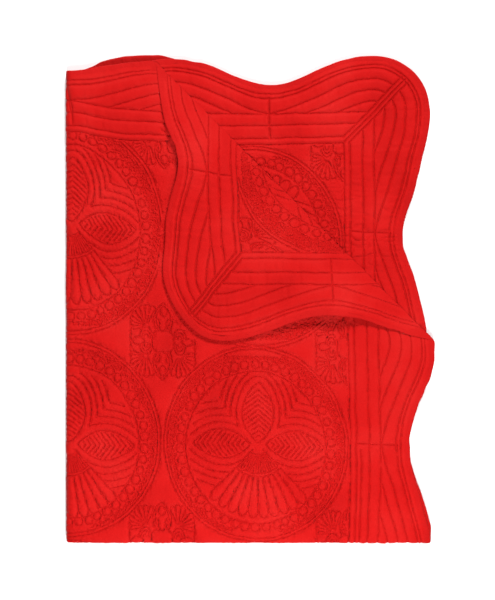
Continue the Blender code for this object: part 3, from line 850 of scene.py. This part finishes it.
def border_lines(outline):
    """Stitch lines of the right half of the border."""
    lines = []
    for distance in FRAME_LINES:
        u = PANEL_HALF_U + distance
        v = PANEL_HALF_V + distance
        for ends in (((HALF_START, v), (u, v)), ((u, v), (u, -v)), ((u, -v), (HALF_START, -v))):
            line = segment(*ends)
            lines += split(line, off_mitre(line)) if distance > 0.0 else [line]
    runs = 0.5 * outline.length + np.arange(0.0, outline.length, LINE_STEP)
    cusp = cusp_at(*outline.at(runs))
    for inset in CHANNEL_INSETS:
        depth = min(1.0, (inset - CHANNEL_INSETS[0]) / CHANNEL_INSETS[1])
        line = np.column_stack(outline.at(runs, inset + depth * cusp))
        reach = np.maximum(np.abs(line[:, 0]) - PANEL_HALF_U, np.abs(line[:, 1]) - PANEL_HALF_V)
        keep = (reach > FRAME_LINES[-1]) & (line[:, 0] > HALF_START)
        if inset > CHANNEL_INSETS[1]:
            keep &= off_mitre(line)
        lines += split(line, keep)
    reach = math.sqrt(0.5) * MITRE_LENGTH
    for end in (1.0, -1.0):
        for offset in MITRE_LINES:
            across = math.sqrt(0.5) * offset
            start = (PANEL_HALF_U - across + abs(across), end * (PANEL_HALF_V + across + abs(across)))
            length = reach - abs(across)
            lines.append(segment(start, (start[0] + length, start[1] + end * length)))
        near, far = FRAME_LINES[1], EDGE_VALLEY - CHANNEL_INSETS[1]
        for valley in (0.0, SCALLOP):
            lines.append(segment((valley, end * (PANEL_HALF_V + near)), (valley, end * (PANEL_HALF_V + far))))
        for valley in (0.5 * SCALLOP, 1.5 * SCALLOP):
            lines.append(segment((PANEL_HALF_U + near, end * valley), (PANEL_HALF_U + far, end * valley)))
    crease = PANEL_HALF_U + CREASE_AT
    lines.append(segment((crease, -CREASE_LENGTH), (crease, CREASE_LENGTH)))
    return lines


class NearestLine:
    """Distance to the nearest of some lines, kept on an even grid of the right half."""

    def __init__(self, lines, reach, pitch):
        self.low = np.array((HALF_START, -HALF_END_V))
        self.pitch = pitch
        self.u = np.arange(self.low[0], HALF_END_U, pitch)
        self.v = np.arange(self.low[1], HALF_END_V, pitch)
        self.values = np.full((len(self.u), len(self.v)), reach)
        for line in lines:
            for start, end in zip(line[:-1], line[1:]):
                self.stamp(start, end, reach)

    def stamp(self, start, end, reach):
        """Bring the grid's values near one short line down to their distance from it."""
        low = np.maximum(((np.minimum(start, end) - reach - self.low) / self.pitch).astype(int), 0)
        high = ((np.maximum(start, end) + reach - self.low) / self.pitch).astype(int) + 2
        if high[0] <= 0 or high[1] <= 0:
            return
        away_u = self.u[low[0]:high[0], None] - start[0]
        away_v = self.v[None, low[1]:high[1]] - start[1]
        span_u, span_v = end - start
        square = max(span_u * span_u + span_v * span_v, 1e-12)
        share = np.clip((away_u * span_u + away_v * span_v) / square, 0.0, 1.0)
        gap = np.hypot(away_u - share * span_u, away_v - share * span_v)
        part = self.values[low[0]:high[0], low[1]:high[1]]
        np.minimum(part, gap, out=part)

    def at(self, u, v):
        """The distance at any flat place; the left half mirrors the right one."""
        across = (np.abs(u) - self.low[0]) / self.pitch
        along = (v - self.low[1]) / self.pitch
        i = np.clip(np.floor(across).astype(int), 0, len(self.u) - 2)
        j = np.clip(np.floor(along).astype(int), 0, len(self.v) - 2)
        s = np.clip(across - i, 0.0, 1.0)
        t = np.clip(along - j, 0.0, 1.0)
        low, high = (self.values[i, row] * (1.0 - s) + self.values[i + 1, row] * s for row in (j, j + 1))
        return low * (1.0 - t) + high * t


def full_share(gap, in_border):
    """How full the cloth is at a distance from a stitch: 0 on it and 1 far away."""
    dimple = 1.0 - np.exp(-gap / np.where(in_border, BORDER_DIMPLE, DIMPLE))
    pillow = np.sin(0.5 * math.pi * np.clip(gap / PILLOW, 0.0, 1.0))
    return DIMPLE_SHARE * dimple + (1.0 - DIMPLE_SHARE) * pillow


class Quilting:
    """The quilt's flat pattern, and from it the thickness of the cloth at any place."""

    def __init__(self, outline):
        self.outline = outline
        deep, fine = panel_lines()
        self.thick = [by_hand(line) for line in deep + border_lines(outline)]
        self.fine = [by_hand(line) for line in fine]
        pitch = FIELD_PITCH * 1.0
        self.stitches = NearestLine(self.thick + self.fine, FIELD_REACH, pitch)
        runs = np.arange(0.0, outline.length + EDGE_FIELD_STEP, EDGE_FIELD_STEP)
        self.edge = NearestLine([np.column_stack(outline.at(runs))], EDGE_FIELD_REACH, 2.0 * pitch)

    def inset(self, u, v):
        """Distance in from the edge, up to a limit, and below zero outside it."""
        gap = self.edge.at(u, v)
        return np.where(self.outline.holds(np.abs(u), v), gap, -gap)

    def gathers(self, u, v):
        """Small puckers: across the channels in the border, and every way in the panel."""
        beyond_u = np.abs(u) - PANEL_HALF_U
        beyond_v = np.abs(v) - PANEL_HALF_V
        across = np.maximum(beyond_u, beyond_v)
        along = np.where(beyond_u > beyond_v, v, u)
        ladder = fade(self.inset(u, v) - EDGE_PUCKER_AT, EDGE_PUCKER_REACH)
        ladder = ladder * layered_noise(along, across, EDGE_PUCKER_NOISE)
        border = BORDER_PUCKER * (layered_noise(along, across, BORDER_NOISE) + EDGE_PUCKER_SHARE * ladder)
        found = np.where(across > 0.0, border, PANEL_PUCKER * layered_noise(u, v, PANEL_NOISE))
        wrinkles = fade(layered_noise(along, across, CRUMPLE_NOISE), CRUMPLE_SHARPNESS)
        for crumple_u, crumple_v, reach, height in CRUMPLES:
            found = found - height * hill(u, v, crumple_u, crumple_v, reach) * wrinkles
        return found

    def half(self, u, v, side):
        """Half the cloth's thickness on one side."""
        gap = self.stitches.at(u, v)
        in_border = np.maximum(np.abs(u) - PANEL_HALF_U, np.abs(v) - PANEL_HALF_V) > 0.0
        full = full_share(gap, in_border)
        a, b = lay_flat(u, v)
        fill = np.where(b < 0.0, CREASE_FILL, 0.0) * fade(past_crease(a, -b), CREASE_FILL_REACH)
        full = full + (1.0 - full) * fill
        from_fold = past_crease(a, b) - 0.5 * math.pi * TURN_RADIUS
        pressed = 1.0 - FOLD_PRESS * fade(from_fold, FOLD_PRESS_REACH)
        for from_side in (a, b):
            pressed = pressed * (1.0 - SIDE_PRESS * fade(from_side, SIDE_PRESS_REACH))
        fullest = np.where(in_border, BORDER_THICKNESS, FULL_THICKNESS)
        quilted = STITCH_THICKNESS + (fullest - STITCH_THICKNESS) * full * pressed
        seam = SEAM_PUCKER * np.exp(-gap / SEAM_PUCKER_REACH) * layered_noise(u, v, SEAM_PUCKER_NOISE)
        puckers = self.gathers(u, v) * (PUCKER_LEAST + (1.0 - PUCKER_LEAST) * full)
        quilted = 0.5 * quilted + puckers + seam
        shown = shown_share(u, v, side, self.outline)
        half = shown * quilted + (1.0 - shown) * 0.5 * PUFF_THICKNESS
        tuck = smooth_step((self.inset(u, v) - CLOTH_TUCK) / (BINDING_WIDTH - CLOTH_TUCK))
        return half * (EDGE_SHARE + (1.0 - EDGE_SHARE) * tuck)


def shown_share(u, v, side, outline):
    """1 where a side of the cloth can be seen, and 0 where other layers hide it."""
    a, b = lay_flat(u, v)
    past = past_crease(a, b)
    right = eased(a, SHOWN_LEFT_FOLD)
    if side > 0.0:
        mirror_u, mirror_v = flat_of(DIAGONAL_SUM - b, DIAGONAL_SUM - a)
        covered = outline.holds(np.abs(mirror_u), mirror_v)
        covered &= (mirror_u + mirror_v > FLAP_LEAST_SUM) & (past < COVERED_UNTIL)
        top = (b > 0.0) * right * (1.0 - eased(past, SHOWN_FACE_END)) * np.where(covered, 0.0, 1.0)
        under = (b > 0.0) * (1.0 - right)
        near_fold = 1.0 - eased(np.abs(b), SHOWN_BOTTOM_FOLD)
        return np.clip(top + under + near_fold, 0.0, 1.0)
    flap = (b > 0.0) * eased(past, SHOWN_FLAP_START)
    lower = (b < 0.0) * eased(past_crease(a, -b), SHOWN_LOWER_START)
    return np.clip(flap + lower, 0.0, 1.0) * right


def steps_between(levels):
    """Places from level to level, each stretch with its own step: (end, step) pairs."""
    coarse = 1.0
    places = [levels[0][0]]
    for (start, _), (end, step) in zip(levels[:-1], levels[1:]):
        count = max(1, int(round((end - start) / min(step * coarse, HIDDEN_STEP))))
        places += list(start + (end - start) * np.arange(1, count + 1) / count)
    return np.array(places)


def snapped(quilting, u, v, reach):
    """Points that are close to a stitched line, moved onto it."""
    at = quilting.stitches.at
    gap = at(u, v)
    slope_u = (at(u + SLOPE_STEP, v) - at(u - SLOPE_STEP, v)) / (2.0 * SLOPE_STEP)
    slope_v = (at(u, v + SLOPE_STEP) - at(u, v - SLOPE_STEP)) / (2.0 * SLOPE_STEP)
    size = np.maximum(np.hypot(slope_u, slope_v), 0.7)
    move = np.where(gap < reach, gap, 0.0) / size
    return u - move * slope_u, v - move * slope_v


def unspoilt(u, v, moved_u, moved_v, faces):
    """Moved points, but put back where the move shrinks a face to little or turns it over."""
    spoilt = [np.zeros(0, dtype=int)]
    for corners in ((0, 1, 2), (0, 2, faces.shape[1] - 1)):
        a, b, c = (faces[:, corner] for corner in corners)
        before = (u[b] - u[a]) * (v[c] - v[a]) - (u[c] - u[a]) * (v[b] - v[a])
        after = (moved_u[b] - moved_u[a]) * (moved_v[c] - moved_v[a])
        after -= (moved_u[c] - moved_u[a]) * (moved_v[b] - moved_v[a])
        spoilt.append(faces[after * np.sign(before) < LEAST_FACE_SHARE * np.abs(before)].ravel())
    spoilt = np.unique(np.concatenate(spoilt))
    moved_u[spoilt] = u[spoilt]
    moved_v[spoilt] = v[spoilt]
    return moved_u, moved_v


def net(quilting, us, vs):
    """The flat net: its points, and its four-sided faces inside the edge."""
    even_u, even_v = np.meshgrid(us, vs, indexing="ij")
    step = np.minimum(np.gradient(us)[:, None], np.gradient(vs)[None, :])
    u, v = snapped(quilting, even_u, even_v, SNAP_SHARE * step)
    keep = quilting.inset(u, v) > CLOTH_TUCK
    cells = keep[:-1, :-1] & keep[1:, :-1] & keep[1:, 1:] & keep[:-1, 1:]
    index = np.arange(u.size).reshape(u.shape)
    corners = (index[:-1, :-1], index[1:, :-1], index[1:, 1:], index[:-1, 1:])
    faces = np.column_stack([corner[cells] for corner in corners])
    u, v = unspoilt(even_u.ravel(), even_v.ravel(), u.ravel(), v.ravel(), faces)
    used, faces = np.unique(faces, return_inverse=True)
    return u[used], v[used], faces.reshape(-1, 4)


def corner_points(mesh):
    """The point at each corner of a mesh's faces."""
    corner = np.zeros(len(mesh.loops), dtype=np.int32)
    mesh.loops.foreach_get("vertex_index", corner)
    return corner


def mesh_from(name, points, faces, flat):
    """A mesh with smooth faces and a flat map of the cloth, in metres."""
    mesh = bpy.data.meshes.new(name)
    mesh.from_pydata(points.tolist(), [], faces.tolist())
    layer = mesh.uv_layers.new(name="flat")
    layer.uv.foreach_set("vector", flat[corner_points(mesh)].astype(np.float32).ravel())
    mesh.shade_smooth()
    return mesh


def thinned(mesh, triangles):
    """A mesh with fewer triangles in place of another, most of them kept where it curves."""
    part = bpy.data.objects.new("thinning", mesh)
    bpy.context.scene.collection.objects.link(part)
    modifier = part.modifiers.new("thin", "DECIMATE")
    modifier.ratio = min(1.0, triangles / (2.0 * len(mesh.polygons)))
    modifier.use_collapse_triangulate = True
    found = part.evaluated_get(bpy.context.evaluated_depsgraph_get())
    result = bpy.data.meshes.new_from_object(found)
    name = mesh.name
    bpy.data.objects.remove(part)
    bpy.data.meshes.remove(mesh)
    result.name = name
    return result


def flat_places(mesh):
    """The flat place of each point of a mesh."""
    flat = np.zeros(2 * len(mesh.loops), dtype=np.float32)
    mesh.uv_layers["flat"].uv.foreach_get("vector", flat)
    places = np.zeros((len(mesh.vertices), 2))
    places[corner_points(mesh)] = flat.reshape(-1, 2)
    return places[:, 0], places[:, 1]


def place_object(name, mesh, material):
    """Put a finished mesh in the scene as one object."""
    part = bpy.data.objects.new(name, mesh)
    bpy.context.scene.collection.objects.link(part)
    mesh.materials.append(material)
    return part


def make_cloth(name, quilting, side, levels, material):
    """One face of the quilt, folded: side is 1 for the face and -1 for the back."""

    def place(u, v):
        return placed(u, v, side * quilting.half(u, v, side))

    u, v, faces = net(quilting, *[steps_between(axis) for axis in levels])
    if side < 0.0:
        faces = faces[:, ::-1]
    mesh = mesh_from(name, place(u, v), faces, np.column_stack((u, v)))
    if 2 * len(faces) > PIECE_TRIANGLES:
        mesh = thinned(mesh, PIECE_TRIANGLES)
        even_u, even_v = flat_places(mesh)
        u, v = snapped(quilting, even_u, even_v, THIN_SNAP)
        u, v = unspoilt(even_u, even_v, u, v, corner_points(mesh).reshape(-1, 3))
        mesh.vertices.foreach_set("co", place(u, v).astype(np.float32).ravel())
    from_stitch = quilting.stitches.at(u, v)
    in_panel = (np.abs(u) < PANEL_HALF_U) & (np.abs(v) < PANEL_HALF_V)
    crinkle = CRINKLE_FAR + (1.0 - CRINKLE_FAR) * fade(from_stitch, CRINKLE_REACH)
    crinkle = crinkle * np.where(in_panel, 1.0, CRINKLE_BORDER)
    for label, values in (("gap", 1000.0 * from_stitch), ("crinkle", crinkle)):
        kept = mesh.attributes.new(label, "FLOAT", "POINT")
        kept.data.foreach_set("value", values.astype(np.float32))
    mesh.update()
    return place_object(name, mesh, material)


def make_binding(outline, material):
    """The bias strip round the edge, with the small ripples that its stitching pulls."""
    upper = np.array(BINDING_SECTION)
    section = np.concatenate((upper, upper[-2::-1] * (1.0, -1.0)))
    count = int(outline.length / (BINDING_STEP * 1.0))
    runs = np.linspace(0.0, outline.length, count, endpoint=False)
    run = np.repeat(runs[:, None], len(section), axis=1)
    inset = np.repeat(section[None, :, 0], count, axis=0)
    w = np.repeat(section[None, :, 1], count, axis=0)
    grip = np.sin(math.pi * np.clip(inset / BINDING_WIDTH, 0.0, 1.0))
    grip = RIPPLE_LEAST + (1.0 - RIPPLE_LEAST) * grip
    w = w * (1.0 + RIPPLE * layered_noise(run, inset, RIPPLE_NOISE) * grip)
    sway = SWAY * layered_noise(run, np.zeros_like(run), SWAY_NOISE)
    u, v = outline.at(run.ravel(), (inset + sway * (1.0 - inset / BINDING_WIDTH)).ravel())
    points = placed(u, v, w.ravel())
    index = np.arange(count * len(section)).reshape(count, len(section))
    after = np.roll(index, -1, axis=0)
    faces = np.stack((index[:, :-1], index[:, 1:], after[:, 1:], after[:, :-1]), axis=-1)
    flat = np.column_stack((run.ravel(), (inset * np.sign(w)).ravel()))
    mesh = mesh_from("quilt_binding", points, faces.reshape(-1, 4), flat)
    return place_object("quilt_binding", mesh, material)


def spaced(line):
    """Start and end of each stitch along a line, as rows of four numbers."""
    run = np.concatenate(([0.0], np.cumsum(np.hypot(*np.diff(line, axis=0).T))))
    count = int(run[-1] / STITCH_PITCH)
    starts = (run[-1] - count * STITCH_PITCH) / 2.0 + STITCH_PITCH * (np.arange(count) + STITCH_START)
    places = (starts, starts + STITCH_LENGTH)
    return np.column_stack([np.interp(place, run, line[:, axis]) for place in places for axis in (0, 1)])


def make_thread(name, quilting, side, lowest, material):
    """The quilting stitches on one side of the cloth, each a short soft bar of thread."""
    rows = np.concatenate([spaced(line) for line in quilting.thick])
    u, v = (0.5 * (rows[:, :2] + rows[:, 2:])).T
    kept = (u > 0.0) & (v > lowest) & (shown_share(u, v, side, quilting.outline) > 0.5)
    starts = rows[kept, :2]
    ends = rows[kept, 2:]
    span = ends - starts
    across = np.column_stack((-span[:, 1], span[:, 0])) / np.hypot(*span.T)[:, None]
    corners = ((1.0, 0.0), (0.0, 1.0), (-1.0, 0.0), (0.0, -1.0))
    points = []
    for share, size, height in STITCH_STATIONS:
        middle = starts + share * span
        base = quilting.half(middle[:, 0], middle[:, 1], side)
        for offset, up in corners if size > 0.0 else ((0.0, 0.0),):
            flat = middle + THREAD_RADIUS * size * offset * across
            w = base + THREAD_RADIUS * (height + size * up)
            points.append(placed(flat[:, 0], flat[:, 1], side * w))
    points = np.stack(points, axis=1)
    turns = ((0, 1), (1, 2), (2, 3), (3, 0))
    ring = [(0, 1 + k, 1 + n) for k, n in turns]
    ring += [(1 + k, 5 + k, 5 + n) for k, n in turns]
    ring += [(1 + k, 5 + n, 1 + n) for k, n in turns]
    ring += [(9, 5 + n, 5 + k) for k, n in turns]
    ring = np.array(ring)
    if side < 0.0:
        ring = ring[:, ::-1]
    stitches, corners, _ = points.shape
    faces = ring[None, :, :] + corners * np.arange(stitches)[:, None, None]
    flat = np.repeat(0.5 * (starts + ends), corners, axis=0)
    mesh = mesh_from(name, points.reshape(-1, 3), faces.reshape(-1, 3), flat)
    return place_object(name, mesh, material)


class Nodes:
    """Shader nodes of one material; an input is a value or another node's output."""

    def __init__(self, tree):
        self.tree = tree

    def add(self, kind, inputs=None, **settings):
        """A new node with its settings and inputs."""
        node = self.tree.nodes.new("ShaderNode" + kind)
        for name, value in settings.items():
            setattr(node, name, value)
        for name, value in (inputs or {}).items():
            if isinstance(value, bpy.types.NodeSocket):
                self.tree.links.new(value, node.inputs[name])
            else:
                node.inputs[name].default_value = value
        return node.outputs

    def math(self, operation, *values):
        """The result of one sum, product or maximum."""
        return self.add("Math", dict(enumerate(values)), operation=operation)[0]

    def noise(self, place, scale, detail):
        """A noise, as its outputs."""
        return self.add("TexNoise", {"Vector": place, "Scale": scale, "Detail": detail})

    def ranged(self, value, start, end, low, high, ease="SMOOTHSTEP"):
        """A value from start to end, as one from low to high."""
        inputs = {"Value": value, "From Min": start, "From Max": end, "To Min": low, "To Max": high}
        return self.add("MapRange", inputs, interpolation_type=ease)["Result"]

    def relief(self, height, strength, distance, normal=None, invert=False):
        """The surface's normal with one more relief on it."""
        inputs = {"Height": height, "Strength": strength, "Distance": distance}
        if normal is not None:
            inputs["Normal"] = normal
        return self.add("Bump", inputs, invert=invert)["Normal"]


def cotton(name, reds, sizes):
    """Matt woven cotton: on the quilted one, relief also follows the stitching, and so does painted shade in
    the grooves with a painted highlight beside them.
    """
    deep, plain, pale_and_lit = [(*red, 1.0) for red in reds]
    weave, lint, crinkle_depth = sizes
    material = bpy.data.materials.new(name)
    material.use_nodes = True
    nodes = Nodes(material.node_tree)
    shader = material.node_tree.nodes["Principled BSDF"]
    quilted = name == "quilted_cotton"
    place = nodes.add("UVMap", uv_map="flat")["UV"]
    patch = nodes.noise(nodes.add("TexCoord")["Object"], 14.0, 3.0)["Fac"]
    grain = nodes.noise(place, 900.0, 2.0)["Fac"]
    shade = nodes.math("MULTIPLY_ADD", grain, 0.25, nodes.math("MULTIPLY", patch, 0.75))
    if quilted:
        gap = nodes.add("Attribute", attribute_name="gap")["Fac"]
        # Painted shade: the colour is deepened within about a millimetre of each stitch line, where the
        # groove lies in shade; painted highlight: the puff a few millimetres beside it is kept paler than
        # further out
        shade = nodes.math("ADD", nodes.ranged(gap, 0.1, 0.9, -0.11, 0.04), shade)
        shade = nodes.math("ADD", nodes.ranged(gap, 2.4, 5.5, 0.0, -0.05), shade)
    colour = nodes.add("ValToRGB", {"Fac": shade})["Color"]
    ramp = colour.node.color_ramp
    # Deep red where the shade value is low and pale red where it is high: random tone, and on the quilted
    # cotton also painted groove shade and a painted highlight on the puffs
    ramp.elements[0].position = 0.15
    ramp.elements[0].color = deep
    ramp.elements[1].position = 0.85
    ramp.elements[1].color = pale_and_lit
    ramp.elements.new(0.5).color = plain
    inputs = {"Vector": place, "Scale": weave, "Distortion": 0.6, "Detail": 1.0}
    threads = [nodes.add("TexWave", inputs, bands_direction=way)["Fac"] for way in ("X", "Y")]
    normal = nodes.relief(nodes.math("MAXIMUM", *threads), 0.25, 0.0001)
    normal = nodes.relief(nodes.noise(place, lint, 3.0)["Fac"], 0.35, 0.0004, normal)
    along = (1.0, 1.0, 1.0) if quilted else (1.0, 0.22, 1.0)
    drawn = nodes.add("VectorMath", {0: place, 1: along}, operation="MULTIPLY")["Vector"]
    wander = {0: nodes.noise(place, 160.0, 1.0)["Color"], 1: (0.0045, 0.0045, 0.0), 2: drawn}
    shifted = nodes.add("VectorMath", wander, operation="MULTIPLY_ADD")["Vector"]
    inputs = {"Vector": shifted, "Scale": 270.0, "Smoothness": 0.35}
    crinkle = nodes.add("TexVoronoi", inputs, feature="SMOOTH_F1")["Distance"]
    if quilted:
        crinkle = nodes.math("MULTIPLY", crinkle, nodes.add("Attribute", attribute_name="crinkle")["Fac"])
    normal = nodes.relief(crinkle, 0.9, crinkle_depth, normal, invert=True)
    if quilted:
        ditch = nodes.ranged(gap, 0.0, 1.4, 0.0, 1.0, "SMOOTHERSTEP")
        normal = nodes.relief(ditch, 0.6, 0.0014, normal)
    rough = nodes.ranged(patch, 0.0, 1.0, 0.66, 0.82, "LINEAR")
    for socket, found in (("Base Color", colour), ("Normal", normal), ("Roughness", rough)):
        material.node_tree.links.new(found, shader.inputs[socket])
    shader.inputs["Specular IOR Level"].default_value = 0.08
    shader.inputs["Sheen Weight"].default_value = 0.06
    shader.inputs["Sheen Roughness"].default_value = 0.45
    shader.inputs["Sheen Tint"].default_value = (1.0, 0.24, 0.20, 1.0)
    return material


def make_camera():
    """A camera straight above, framed as the photograph is."""
    data = bpy.data.cameras.new("camera")
    camera = bpy.data.objects.new("camera", data)
    bpy.context.scene.collection.objects.link(camera)
    x = (0.5 * IMAGE_SIZE[0] - QUILT_CENTRE_PIXEL[0]) * PIXEL
    y = (QUILT_CENTRE_PIXEL[1] - 0.5 * IMAGE_SIZE[1]) * PIXEL
    camera.location = (x, y, CAMERA_HEIGHT)
    data.sensor_width = SENSOR
    data.lens = SENSOR * (CAMERA_HEIGHT - SHOWN_HEIGHT) / (IMAGE_SIZE[1] * PIXEL)
    data.clip_start = 0.05
    bpy.context.scene.camera = camera


def area_light(name, place, size, power):
    """A soft square light that faces the quilt."""
    data = bpy.data.lights.new(name, "AREA")
    data.size = size
    data.energy = power
    light = bpy.data.objects.new(name, data)
    bpy.context.scene.collection.objects.link(light)
    light.location = place
    direction = -light.location.normalized()
    light.rotation_euler = direction.to_track_quat("-Z", "Y").to_euler()


def make_studio():
    """A pale floor, faint white surroundings and three soft lamps: behind, in front, and low in front."""
    world = bpy.data.worlds.new("studio")
    world.use_nodes = True
    background = world.node_tree.nodes["Background"]
    background.inputs["Color"].default_value = (1.0, 1.0, 1.0, 1.0)
    background.inputs["Strength"].default_value = SURROUNDING
    bpy.context.scene.world = world
    for lamp in LAMPS:
        area_light(*lamp)
    bpy.context.scene.view_settings.view_transform = "Standard"
    mesh = bpy.data.meshes.new("floor")
    corners = [(FLOOR_REACH * u, FLOOR_REACH * v, 0.0) for u, v in QUADRANTS]
    mesh.from_pydata(corners, [], [(0, 1, 2, 3)])
    material = bpy.data.materials.new("floor_white")
    material.use_nodes = True
    shader = material.node_tree.nodes["Principled BSDF"]
    shader.inputs["Base Color"].default_value = (FLOOR_WHITE, FLOOR_WHITE, FLOOR_WHITE, 1.0)
    shader.inputs["Roughness"].default_value = 0.9
    floor = place_object("floor", mesh, material)
    floor.location.z = -FLOOR_DROP


make_camera()
make_studio()
outline = Outline()
quilting = Quilting(outline)
red, bias_red, thread_red = [cotton(name, *look) for name, look in COTTONS.items()]
top = make_cloth("quilt_face", quilting, 1.0, FACE_NET, red)
back = make_cloth("quilt_back", quilting, -1.0, BACK_NET, red)
binding = make_binding(outline, bias_red)
thread_face = make_thread("thread_face", quilting, 1.0, FACE_STITCHES_FROM, thread_red)
thread_back = make_thread("thread_back", quilting, -1.0, -HALF_END_V, thread_red)

slots = (
    (top, "quilted_cotton"),
    (back, "quilted_cotton"),
    (binding, "binding_cotton"),
    (thread_face, "quilted_cotton"),
    (thread_back, "quilted_cotton"),
)
for piece, slot in slots:
    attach(piece, "root")
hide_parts("quilted_cloth")
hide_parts("quilted_cloth")
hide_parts("edge_binding")
